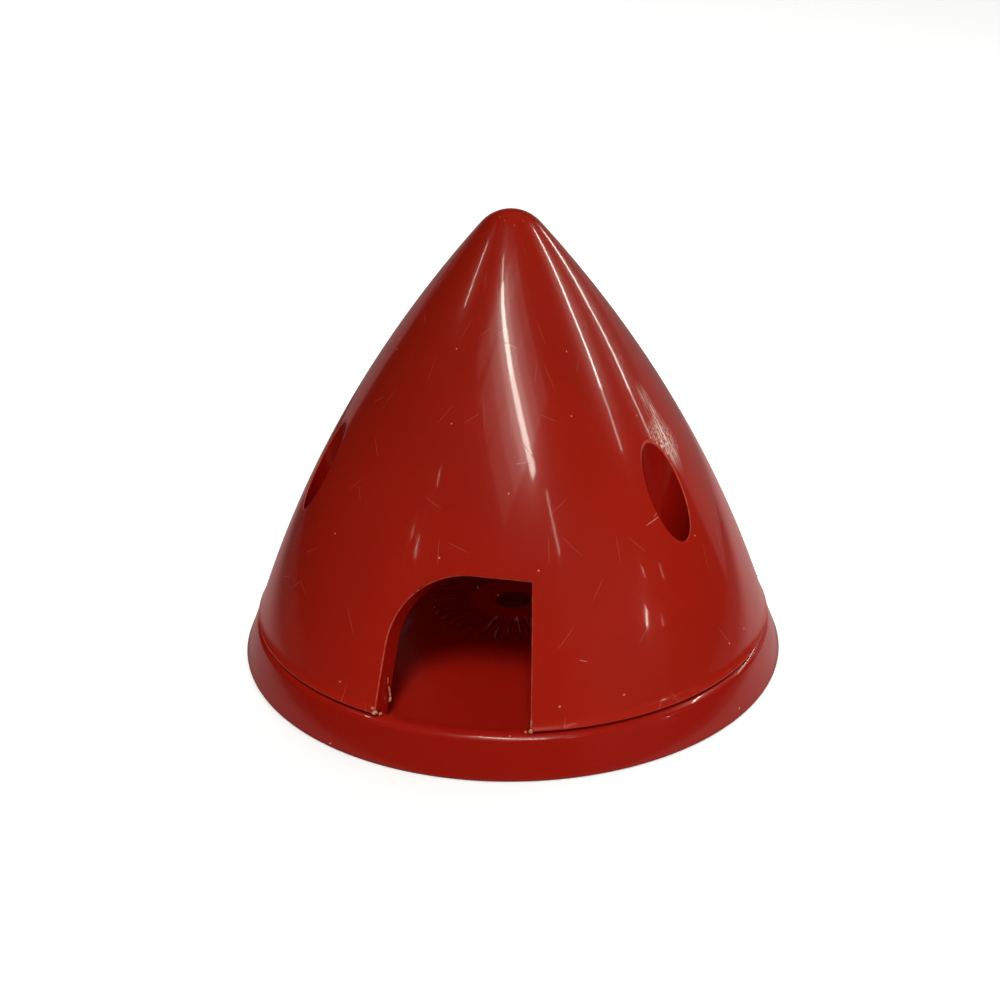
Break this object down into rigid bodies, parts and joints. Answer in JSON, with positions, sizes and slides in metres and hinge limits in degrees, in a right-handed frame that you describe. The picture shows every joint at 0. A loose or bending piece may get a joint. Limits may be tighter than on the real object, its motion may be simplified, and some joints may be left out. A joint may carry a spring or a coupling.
{
  "type": "propeller spinner",
  "caption": "Pointed ogive spinner that covers a propeller hub, with blade openings, deep screw wells and a flanged backplate with grip serrations round its shaft bore.",
  "frame": {"origin": "centre of the shaft bore at the flat back face", "axes": "+Z along the shaft bore from the back face to the tip; the middle of one blade opening on -Y"},
  "size_m": [0.076, 0.076, 0.0583],
  "materials": {
    "red_nylon": "glossy as moulded, with fine scratches",
    "red_nylon_backplate": "glossy as moulded",
    "zinc_plated_steel": "satin zinc plating"
  },
  "bodies": {
    "root": {"spinner_cone": "red_nylon", "backplate": "red_nylon_backplate", "cone_screw_1": "zinc_plated_steel", "cone_screw_2": "zinc_plated_steel", "cone_screw_3": "zinc_plated_steel"}
  },
  "joints": []
}
